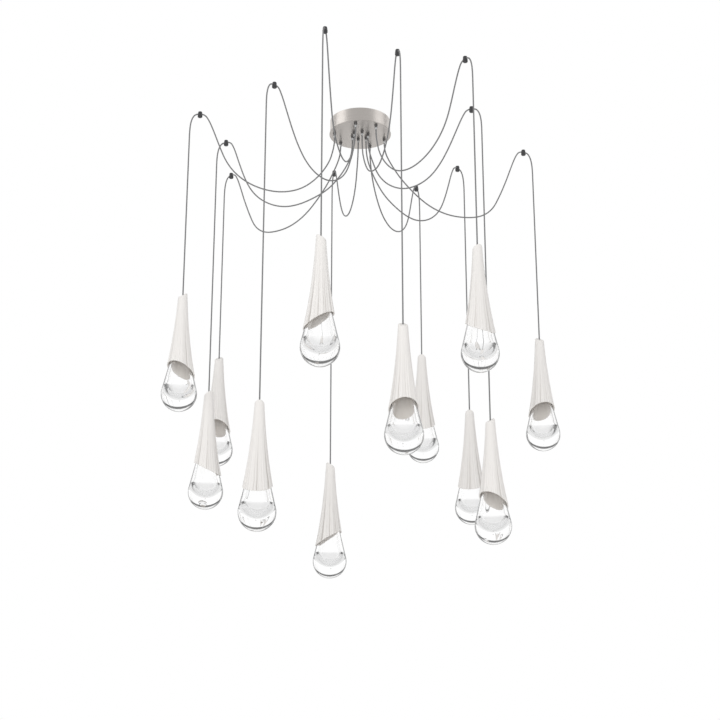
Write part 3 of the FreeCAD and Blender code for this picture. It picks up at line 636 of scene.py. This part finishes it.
# %% [markdown]
# ## Slanted cuts
# Both ends of the horn are cut at a slant that faces the same side, so that one side is short and shows
# the glass, and the opposite side is long. At each angle round the horn a few rounds of trial find the
# depth at which the flare meets the slanted plane.

# %% Ends of the shade
TOP_CUT, RIM_CUT = 0.008, 0.231
SLANT = math.tan(math.radians(28.5))
TRIALS = 12


def cut_depth(poles, middle_depth, slope, angle):
    """Depth at which a flare meets a plane that slopes towards the short side at angle 0."""
    depth = middle_depth
    for _ in range(TRIALS):
        depth = middle_depth + slope * math.cos(angle) * flare_radius(poles, depth)
    return depth


def top_depth(angle):
    """Depth of the top end at an angle."""
    return cut_depth(OUTSIDE, TOP_CUT, SLANT, angle)


def rim_depth(angle):
    """Depth of the rim at an angle."""
    return cut_depth(OUTSIDE, RIM_CUT, -SLANT, angle)


print("rim from", round(rim_depth(0), 4), "to", round(rim_depth(math.pi), 4))

# %% [markdown]
# ## Ribs like bark
# The outside has about thirty uneven upright ribs with narrow grooves between them, like bark or folded
# paper. The grooves start as evenly spaced angles and are then shifted a little, each by its own amount,
# and they wander slightly on their way down. Ribs are low at the top and grow towards the rim. The grooves
# are also painted darker as painted shade, each groove by its own amount. A bump alone would leave the
# outline smooth.

# %% Ribs
RIB_COUNT = 30
RIB_SEED, RIB_SHIFT = 5, 0.36
RIB_SIZE, RIB_SHARPNESS, GROOVE_SHADE = (0.4, 1.2), (0.45, 0.95), (0.2, 1.5)
WANDER, WANDER_ROUND, WANDER_DOWN = 0.006, 3, 30
dice = random.Random(RIB_SEED)
rib_starts = [(number + dice.uniform(-RIB_SHIFT, RIB_SHIFT)) / RIB_COUNT for number in range(RIB_COUNT)]
rib_sizes = [dice.uniform(*RIB_SIZE) for _ in range(RIB_COUNT)]
rib_sharpness = [dice.uniform(*RIB_SHARPNESS) for _ in range(RIB_COUNT)]
# painted shade: how much darker each groove is painted
groove_shades = [dice.uniform(*GROOVE_SHADE) for _ in range(RIB_COUNT)]


def rib_at(angle, depth):
    """Height from 0 in a groove to about 1 on a rib, and how strong the painted shade of the nearer groove
    is.
    """
    turn = (angle / (2 * math.pi)) % 1.0
    spot = Vector((WANDER_ROUND * math.cos(angle), WANDER_ROUND * math.sin(angle), WANDER_DOWN * depth))
    turn = (turn + WANDER * noise.noise(spot)) % 1.0
    passed = [number for number, start in enumerate(rib_starts) if start % 1.0 <= turn]
    number = max(passed, default=RIB_COUNT - 1, key=lambda passed_number: rib_starts[passed_number] % 1.0)
    start = rib_starts[number] % 1.0
    width = (rib_starts[(number + 1) % RIB_COUNT] - rib_starts[number]) % 1.0
    across = ((turn - start) % 1.0) / width
    groove = number if across < 0.5 else (number + 1) % RIB_COUNT
    height = rib_sizes[number] * (4 * across * (1 - across)) ** rib_sharpness[number]
    return height, groove_shades[groove]


print("first ribs", [round(start, 3) for start in rib_starts[:5]])

# %% [markdown]
# ## The wall of a shade
# At each angle the wall has a closed outline: a rounded top edge, the ribbed outside, a rounded lip, the
# smooth inside and the flat top with the hole for the cord. A spin would be quicker, but here the outline
# changes on the way round. Beside its place, every corner keeps two numbers for the finish: how light it
# is painted between rib and painted groove shade, and how much it takes of the greyer inside colour.

# %% Outline of the wall
RIB_HEIGHT_TOP, RIB_HEIGHT_RIM, RIB_GROWTH = 0.0002, 0.0017, 1.5
OUTER_ROWS, LIP_ROWS, INNER_ROWS, TOP_ROWS = 60, 5, 30, 4
LIP_DEPTH = 0.0012
TOP_ROUND, ROUND_ROWS = 0.0032, 6
HOLE_RADIUS, SEAT_DEPTH = 0.0024, 0.020
# rib heights that lie on the smooth flare and on the plain slanted cut
RIB_LEVEL, RIM_LEVEL = 0.75, 0.7
# scallop of the rim, and its share on the short side
SCALLOP, SCALLOP_SHORT = 0.0022, 0.35
# share of the painted groove shade that fades out towards the top
PLAIN_TOP = 0.85
SMOOTH_RIB = 0.9
# tone of the raw lip; depth and strength of painted light that makes the inside paler near the rim on the
# short side
LIP_TONE, LIT_RIM_DEPTH, LIT_RIM_GAIN = 0.3, 0.035, 1.8


def shade_column(angle):
    """The closed outline of the shade's wall at one angle, as (radius, depth, rib with painted groove shade,
    share of inside colour).
    """
    top = top_depth(angle)
    rib_at_rim, _ = rib_at(angle, RIM_CUT)
    long_side = 0.5 - 0.5 * math.cos(angle)
    scallop = SCALLOP * (SCALLOP_SHORT + (1 - SCALLOP_SHORT) * long_side)
    rim = rim_depth(angle) + scallop * (rib_at_rim - RIM_LEVEL) - LIP_DEPTH
    wall = []
    for row in range(OUTER_ROWS):
        share = row / (OUTER_ROWS - 1)
        depth = top + TOP_ROUND + (rim - top - TOP_ROUND) * share
        height = RIB_HEIGHT_TOP + (RIB_HEIGHT_RIM - RIB_HEIGHT_TOP) * share ** RIB_GROWTH
        rib, groove = rib_at(angle, depth)
        # painted shade: grooves painted darker by their own amount, fading out towards the top
        painted_groove_shading = 1 - (1 - rib) * groove * (1 - PLAIN_TOP * (1 - share) ** 2)
        wall.append((flare_radius(OUTSIDE, depth) + height * (rib - RIB_LEVEL), depth, painted_groove_shading, 0.0))
    column = []
    for row in range(ROUND_ROWS):
        bend = math.pi / 2 * row / ROUND_ROWS
        column.append((wall[0][0] - TOP_ROUND * (1 - math.sin(bend)),
                       top + TOP_ROUND * (1 - math.cos(bend)), wall[0][2], 0.0))
    column += wall
    outer, inner = column[-1][0], flare_radius(INSIDE, rim)
    for row in range(1, LIP_ROWS):
        bend = math.pi * row / LIP_ROWS
        column.append(((outer + inner) / 2 + (outer - inner) / 2 * math.cos(bend),
                       rim + LIP_DEPTH * math.sin(bend), SMOOTH_RIB, LIP_TONE))
    for row in range(INNER_ROWS):
        depth = rim + (SEAT_DEPTH - rim) * row / (INNER_ROWS - 1)
        # painted light: near the rim on the short side the inside is painted paler, where light falls in
        painted_rim_light = max(0.0, 1 - (rim - depth) / LIT_RIM_DEPTH)
        raw_and_shade_share = 1 - (1 - LIP_TONE) * min(1.0, LIT_RIM_GAIN * (1 - long_side)) * painted_rim_light
        column.append((flare_radius(INSIDE, depth), depth, SMOOTH_RIB, raw_and_shade_share))
    column.append((HOLE_RADIUS, SEAT_DEPTH, 1.0, 1.0))
    hole_top = TOP_CUT + SLANT * math.cos(angle) * HOLE_RADIUS
    for row in range(TOP_ROWS):
        share = row / TOP_ROWS
        column.append((HOLE_RADIUS + (column[0][0] - HOLE_RADIUS) * share,
                       hole_top + (top - hole_top) * share, 1.0, 0.0))
    return column


print("wall at the short side", len(shade_column(0.0)), "corners")

# %% [markdown]
# ## Mesh of the shade
# The outlines stand side by side round the axis, and faces join each one to the next. Creases stay sharp
# where two faces meet at a wide angle, and all else is shaded smooth. All twelve shades come from this mesh.

# %% Mesh of a shade
AROUND = 240
SHADE_CREASE = math.radians(50)


def smooth_faces(mesh, crease):
    """Shades a mesh smooth, apart from edges whose faces meet at more than the crease angle."""
    mesh.polygons.foreach_set("use_smooth", [True] * len(mesh.polygons))
    mesh.set_sharp_from_angle(angle=crease)


def shade_mesh():
    """The closed wall of a shade, with its rib and lip values."""
    columns = [shade_column(2 * math.pi * step / AROUND) for step in range(AROUND)]
    rows = len(columns[0])
    corners, faces = [], []
    for step, column in enumerate(columns):
        turn = 2 * math.pi * step / AROUND
        for radius, depth, _, _ in column:
            corners.append((radius * math.cos(turn), radius * math.sin(turn), -depth))
        here, there = step * rows, (step + 1) % AROUND * rows
        for row in range(rows):
            after = (row + 1) % rows
            faces.append((here + after, there + after, there + row, here + row))
    mesh = new_mesh("ribbed_shade", corners, faces)
    for title, place in (("rib", 2), ("lip", 3)):
        layer = mesh.attributes.new(title, "FLOAT", "POINT")
        layer.data.foreach_set("value", [spot[place] for column in columns for spot in column])
    smooth_faces(mesh, SHADE_CREASE)
    return mesh


ribbed = shade_mesh()
print("shade", len(ribbed.vertices), "corners")

# %% [markdown]
# ## Matt white ceramic
# The finish is a warm white with painted shade that darkens the grooves. The lip is greyer raw ceramic. The
# inside is greyer too, partly raw ceramic and partly painted shade, and is painted paler near the rim of
# the short side as painted light. The numbers that the mesh keeps steer both. Fine noise breaks up the
# surface, as on unglazed porcelain.

# %% Ceramic finish


def attribute_node(tree, name):
    """A node that reads a number kept on the corners of a mesh."""
    node = tree.nodes.new("ShaderNodeAttribute")
    node.attribute_name = name
    return node


def ceramic_finish():
    """Warm white with painted shade in the grooves, a greyer inside that is partly painted shade, and a fine
    grain.
    """
    finish, tree, shader = new_finish("matt_ceramic", (0.86, 0.84, 0.81), roughness=0.62)
    rib = attribute_node(tree, "rib")
    lip = attribute_node(tree, "lip")
    # painted shade: darker colour in the grooves, lighter on the ribs
    tone = ramp(tree, [(0.0, (0.58, 0.55, 0.52)), (0.35, (0.82, 0.795, 0.77)), (0.9, (0.885, 0.86, 0.835))])
    inside = colour_mix(tree)
    # greyer inside colour: partly raw ceramic, partly painted shade inside the horn
    inside.inputs["B"].default_value = (0.62, 0.58, 0.535, 1)
    place = tree.nodes.new("ShaderNodeTexCoord")
    grain = noise_node(tree, scale=260, detail=4)
    bump = bump_node(tree, strength=0.12, distance=0.0004)
    wire(tree, (rib, "Fac", tone, "Fac"), (lip, "Fac", inside, "Factor"), (tone, "Color", inside, "A"),
         (inside, "Result", shader, "Base Color"), (place, "Object", grain, "Vector"),
         (grain, "Fac", bump, "Height"), (bump, "Normal", shader, "Normal"))
    return finish


ceramic = ceramic_finish()
print("shade finish", ceramic.name)

# %% [markdown]
# ## Hang the shades
# A pendant turns freely on its cord, so each one shows its slanted cut on another side. The turn is put into
# a copy of the mesh, so that the piece itself is only moved down to its place and its box stays a true one.

# %% Place the shades
# turn of the short side from +X, in degrees
TURNS = {"01": 80, "02": -134, "03": 125, "04": -70, "05": -105, "06": -2,
         "07": 80, "08": 155, "09": -82, "10": 5, "11": 90, "12": -140}


def hang(title, mesh, material, drop, node):
    """One piece of a pendant, turned to its own side, which stands for a node and rides on the pendant."""
    own_mesh = mesh.copy()
    own_mesh.transform(Matrix.Rotation(math.radians(TURNS[drop["name"]]), 4, "Z"))
    piece = new_piece(f"{title}_{drop['name']}", own_mesh, material)
    piece.matrix_world = Matrix.Translation(drop["shade_top"])
    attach(piece, f"pendant_{drop['name']}")
    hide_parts(f"{node}_{drop['name']}")
    return piece


for drop in drops:
    hang("ribbed_shade", ribbed, ceramic, drop, "shade")
print("shades", len(drops))

# %% [markdown]
# ## The lamp inside
# A pendant's lamp sits in the neck of the shade: a heat sink with fins that the cord is anchored in, a round
# board with its light source, a small clear lens and a collar that the glass hangs in. A turned piece is its
# outline swept round the axis. Fins come from the same sweep when the radius goes up and down on the way
# round, which spares cutting them out afterwards.

# %% Swept pieces
SWEEP_STEPS = 96
SWEEP_CREASE = math.radians(35)
FINS = 16


def swept(name, outline, fin_depth=0.0, finned=()):
    """A closed ring from an outline of (radius, depth), with upright fins cut into the finned rows."""
    corners, faces = [], []
    rows = len(outline)
    for step in range(SWEEP_STEPS):
        turn = 2 * math.pi * step / SWEEP_STEPS
        in_gap = (step * FINS * 2 // SWEEP_STEPS) % 2
        for row, (radius, depth) in enumerate(outline):
            reach = radius - fin_depth * in_gap * (row in finned)
            corners.append((reach * math.cos(turn), reach * math.sin(turn), -depth))
    for step in range(SWEEP_STEPS):
        here, there = step * rows, (step + 1) % SWEEP_STEPS * rows
        for row in range(rows):
            after = (row + 1) % rows
            faces.append((here + row, here + after, there + after, there + row))
    mesh = new_mesh(name, corners, faces)
    smooth_faces(mesh, SWEEP_CREASE)
    return mesh


print("sweep of", SWEEP_STEPS, "steps with room for", FINS, "fins")

# %% [markdown]
# ## Pieces of the lamp
# Each piece is the sweep of a short outline. The sink is a long body with a wider foot, and the cord goes
# down its middle. The collar is a ring, the board a thin disc and the lens a blunt cone. They could be cut
# from cylinders as well, but an outline keeps the gaps between neighbours in plain sight.

# %% Pieces of the lamp
# outlines as radius and depth under the top of the shade, in metres
CORD_WAY = 0.0024
FIN_DEPTH, FIN_ROWS = 0.0035, (5, 6)
sink_outline = [(CORD_WAY, 0.0205), (0.0085, 0.0205), (0.0093, 0.0215), (0.0093, 0.051), (0.0107, 0.053),
                (0.0107, 0.054), (0.0107, 0.134), (0.0107, 0.137), (0.0185, 0.1385), (0.0198, 0.140),
                (0.0198, 0.1438), (CORD_WAY, 0.1438)]
sink_mesh = swept("finned_sink", sink_outline, FIN_DEPTH, FIN_ROWS)
collar_outline = [(0.0177, 0.144), (0.0198, 0.144), (0.0198, 0.1565), (0.0193, 0.158), (0.0182, 0.158),
                  (0.0177, 0.1575)]
collar_mesh = swept("glass_collar", collar_outline)
board_outline = [(0.0003, 0.144), (0.0119, 0.144), (0.0119, 0.1456), (0.0026, 0.1456), (0.0026, 0.1461),
                 (0.0003, 0.1461)]
board_mesh = swept("lamp_board", board_outline)
lens_outline = [(0.0028, 0.1458), (0.0117, 0.1457), (0.0117, 0.1462), (0.009, 0.1526), (0.0003, 0.1526),
                (0.0003, 0.1466), (0.0028, 0.1466)]
lens_mesh = swept("lamp_lens", lens_outline)
print("sink", len(sink_mesh.vertices), "corners")

# %% [markdown]
# ## Finishes of the lamp
# The sink and the collar are turned aluminium, like the canopy but paler. The board is white with a round
# yellow light source, drawn by the distance from the axis, since it is too small to be worth a piece of its
# own. The lens is clear with a little frost.

# %% Finishes of the lamp
# one over the reach, in metres, that the stops of the board's zones run over
BOARD_SCALE = 80
FROST_SCALE = 500


def board_finish():
    """White board with a warm light source in its middle."""
    finish, tree, shader = new_finish("lamp_board", (0.85, 0.86, 0.85), roughness=0.45)
    place = tree.nodes.new("ShaderNodeTexCoord")
    reach = axis_distance(tree, place)
    scaled = value_node(tree, "MULTIPLY", None, BOARD_SCALE)
    zone = ramp(tree, [(0.0, (0.88, 0.70, 0.20)), (0.205, (0.88, 0.72, 0.24)),
                       (0.215, (0.30, 0.30, 0.30)), (0.235, (0.84, 0.85, 0.84)),
                       (1.0, (0.86, 0.87, 0.86))])
    wire(tree, (reach, "Value", scaled, 0), (scaled, 0, zone, "Fac"), (zone, "Color", shader, "Base Color"))
    return finish


def lens_finish():
    """Clear plastic with a little frost in rings."""
    finish, tree, shader = new_finish("lamp_lens", (0.95, 0.95, 0.94), roughness=0.12)
    shader.inputs["Transmission Weight"].default_value = 0.9
    frost = lathe_marks(tree, FROST_SCALE)
    haze = ramp(tree, [(NOISE_LOW, 0.06), (NOISE_HIGH, 0.22)])
    wire(tree, (frost, "Fac", haze, "Fac"), (haze, "Color", shader, "Roughness"))
    return finish


turned_aluminium = turned_metal("turned_aluminium", (0.74, 0.74, 0.75), smooth=0.28, rough=0.46)
lamp_pieces = [("finned_sink", sink_mesh, turned_aluminium),
               ("glass_collar", collar_mesh, turned_aluminium),
               ("lamp_board", board_mesh, board_finish()), ("lamp_lens", lens_mesh, lens_finish())]
for drop in drops:
    for title, mesh, finish in lamp_pieces:
        hang(title, mesh, finish, drop, "lamp_unit")
print("lamp pieces", len(drops) * len(lamp_pieces))

# %% [markdown]
# ## The glass drop
# The glass is turned about its axis like on a lathe: a neck, a cone and a round base outside, and a narrower
# cone that touches a bowl inside. The wall is thick and the base is solid, so the glass works as a lens, and
# the bowl looks half as wide again as it is. Lines and arcs give the outline with few numbers.

# %% Outline of the glass
NECK_TOP, NECK_END = 0.144, 0.161
NECK_RADIUS, NECK_INNER = 0.0176, 0.0144
BALL_RADIUS, BALL_BOTTOM, SHOULDER_RISE = 0.0495, GLASS_BOTTOM_DEPTH, 0.0116
BOWL_RADIUS, BOWL_BOTTOM = 0.033, 0.311
NECK_ROWS, BALL_ROWS, BOWL_ROWS, CONE_ROWS = 4, 56, 48, 24


def ball_arc(radius, bottom, rise, rows):
    """Points from a shoulder down to the lowest point of a ball, which is left out."""
    start = math.asin(rise / radius)
    spots = []
    for row in range(rows):
        bend = start + (-math.pi / 2 - start) * row / rows
        spots.append((radius * math.cos(bend), bottom - radius - radius * math.sin(bend)))
    return spots


def straight(first, last, rows):
    """Points on a line, without its last one."""
    return [tuple(a + (b - a) * row / rows for a, b in zip(first, last)) for row in range(rows)]


ball = ball_arc(BALL_RADIUS, BALL_BOTTOM, SHOULDER_RISE, BALL_ROWS)
bowl_reach = BOWL_BOTTOM - BOWL_RADIUS - NECK_END
lean = math.asin(BOWL_RADIUS / math.hypot(bowl_reach, NECK_INNER)) - math.atan2(NECK_INNER, bowl_reach)
bowl = ball_arc(BOWL_RADIUS, BOWL_BOTTOM, BOWL_RADIUS * math.sin(lean), BOWL_ROWS)
outer_line = straight((NECK_RADIUS, NECK_TOP), (NECK_RADIUS, NECK_END), NECK_ROWS)
outer_line += straight((NECK_RADIUS, NECK_END), ball[0], CONE_ROWS) + ball
inner_line = straight((NECK_INNER, NECK_TOP), (NECK_INNER, NECK_END), NECK_ROWS)
inner_line += straight((NECK_INNER, NECK_END), bowl[0], CONE_ROWS) + bowl
print("bowl's shoulder", [round(number, 4) for number in bowl[0]])

# %% [markdown]
# ## Bubbles
# Thick blown glass has a few small bubbles under its bowl. A bubble is a small ball whose faces look inward,
# so that the glass ends at it. Every glass gets the same three, each turned to another side.

# %% Bubbles
# distance from the axis, depth and radius
BUBBLES = [(0.0022, 0.3145, 0.0012), (0.0060, 0.3190, 0.0006), (0.0085, 0.3165, 0.0005)]
BUBBLE_RINGS, BUBBLE_AROUND = 8, 16
SIDE_PER_GLASS, SIDE_PER_BUBBLE = 2.1, 2.6


def add_bubble(corners, faces, seed, number):
    """Adds one small hollow ball in the thick base to the corners and faces of a glass."""
    away, depth, radius = BUBBLES[number]
    side = SIDE_PER_GLASS * seed + SIDE_PER_BUBBLE * number
    first = len(corners)
    for ring in range(BUBBLE_RINGS):
        rise = math.pi * (ring + 0.5) / BUBBLE_RINGS
        for step in range(BUBBLE_AROUND):
            turn = 2 * math.pi * step / BUBBLE_AROUND
            corners.append(Vector((away * math.cos(side) + radius * math.sin(rise) * math.cos(turn),
                                   away * math.sin(side) + radius * math.sin(rise) * math.sin(turn),
                                   radius * math.cos(rise) - depth)))
    for ring in range(BUBBLE_RINGS - 1):
        for step in range(BUBBLE_AROUND):
            here, after = first + ring * BUBBLE_AROUND, (step + 1) % BUBBLE_AROUND
            below = here + BUBBLE_AROUND
            faces.append((here + step, here + after, below + after, below + step))
    faces.append(tuple(first + step for step in reversed(range(BUBBLE_AROUND))))
    faces.append(tuple(len(corners) - BUBBLE_AROUND + step for step in range(BUBBLE_AROUND)))


print("bubbles", len(BUBBLES))

# %% [markdown]
# ## Meshes of the glass
# The two outlines go round the axis as one closed wall. A blown hollow is never quite even, so it gets a
# slow wave of well under a millimetre, which differs between the three glasses of a kind. A number on every
# corner says how much it is outer skin, which sets how strongly the finish paints a dark edge line there. A
# spin would give the wall, but no such number.

# %% Meshes of the glass
GLASS_AROUND = 160
GLASS_CREASE = math.radians(60)
# share of the painted dark edge line on the round base
BALL_PAINTED_EDGE = 0.82
# height of the hollow's wave, its fineness, its share down the axis, and the depth over which it sets in
UNEVEN, UNEVEN_SCALE, UNEVEN_DOWN, UNEVEN_START = 0.0002, 45, 0.6, 0.08
SHIFT_PER_GLASS = 7.3


def turned(name, outer, inner, seed):
    """A closed vessel from an outer and an inner outline that both end on the axis."""
    corners, faces = [], []
    outline = [(spot, 0.0) for spot in reversed(outer)] + [(spot, UNEVEN) for spot in inner]
    shift = Vector((seed * SHIFT_PER_GLASS, 0, 0))
    for (radius, depth), wave in outline:
        for step in range(GLASS_AROUND):
            turn = 2 * math.pi * step / GLASS_AROUND
            point = Vector((radius * math.cos(turn), radius * math.sin(turn), -depth))
            share = min(1.0, max(0.0, (depth - NECK_END) / UNEVEN_START))
            sway = wave * share * noise.noise(point * UNEVEN_SCALE + shift)
            corners.append(point + Vector((math.cos(turn), math.sin(turn), UNEVEN_DOWN)) * sway)
    rows = len(outline)
    for row in range(rows - 1):
        for step in range(GLASS_AROUND):
            following = (step + 1) % GLASS_AROUND
            faces.append((row * GLASS_AROUND + step, row * GLASS_AROUND + following,
                          (row + 1) * GLASS_AROUND + following, (row + 1) * GLASS_AROUND + step))
    low = len(corners)
    corners += [Vector((0, 0, -BALL_BOTTOM)), Vector((0, 0, -BOWL_BOTTOM))]
    last = (rows - 1) * GLASS_AROUND
    for step in range(GLASS_AROUND):
        following = (step + 1) % GLASS_AROUND
        faces.append((low, following, step))
        faces.append((low + 1, last + step, last + following))
    for number in range(len(BUBBLES)):
        add_bubble(corners, faces, seed, number)
    mesh = new_mesh(name, corners, faces)
    # how much of the painted dark edge line each corner takes
    skin = mesh.attributes.new("skin", "FLOAT", "POINT")
    shares = [BALL_PAINTED_EDGE] * len(ball) + [1.0] * (len(outer) - len(ball)) + [0.0] * len(inner)
    shares = [share for share in shares for _ in range(GLASS_AROUND)]
    skin.data.foreach_set("value", shares + [0.0] * (len(corners) - len(shares)))
    smooth_faces(mesh, GLASS_CREASE)
    return mesh


glass_meshes = [turned(f"glass_drop_{seed}", outer_line, inner_line, seed) for seed in range(SECTORS)]
print("glass", len(glass_meshes[0].vertices), "corners")

# %% [markdown]
# ## Clear glass
# Clear glass is only seen by what it bends. Its shader lets all light through with the bending of crown
# glass, and a faint slow bump gives the hand-made surface. Where the outer skin is seen edge on, its colour
# is darkened, a painted shade that draws the fine dark line round the drop. Colour in the whole volume would
# darken the thick base instead.

# %% Glass finish
# painted shade: the skin's colour darkens between these two shares of facing away, down to a tone
EDGE_FROM, EDGE_TO, PAINTED_EDGE_TONE = 0.55, 0.72, 0.02


def glass_finish():
    """Clear glass with a slow bump and a painted dark line on the skin where it is seen edge on."""
    finish, tree, shader = new_finish("clear_crystal", (1.0, 1.0, 1.0), roughness=0.0)
    shader.inputs["Transmission Weight"].default_value = 1.0
    shader.inputs["IOR"].default_value = 1.5
    place = tree.nodes.new("ShaderNodeTexCoord")
    sway = noise_node(tree, scale=28, detail=1)
    bump = bump_node(tree, strength=0.008, distance=0.002)
    skin = attribute_node(tree, "skin")
    edge = tree.nodes.new("ShaderNodeLayerWeight")
    edge_share = value_node(tree, "MULTIPLY")
    # painted shade: dark line where the skin is seen edge on
    painted_edge_line = ramp(tree, [(EDGE_FROM, 1.0), (EDGE_TO, PAINTED_EDGE_TONE)])
    wire(tree, (place, "Object", sway, "Vector"), (sway, "Fac", bump, "Height"),
         (bump, "Normal", shader, "Normal"), (skin, "Fac", edge_share, 0), (edge, "Facing", edge_share, 1),
         (edge_share, 0, painted_edge_line, "Fac"), (painted_edge_line, "Color", shader, "Base Color"))
    return finish


crystal = glass_finish()
for index, drop in enumerate(drops):
    glass = hang("glass_drop", glass_meshes[index % SECTORS], crystal, drop, "glass")
    # light goes through to the inside of the shade as if the clear wall weren't there
    glass.visible_diffuse = False
    glass.visible_shadow = False
print("glasses", len(drops))
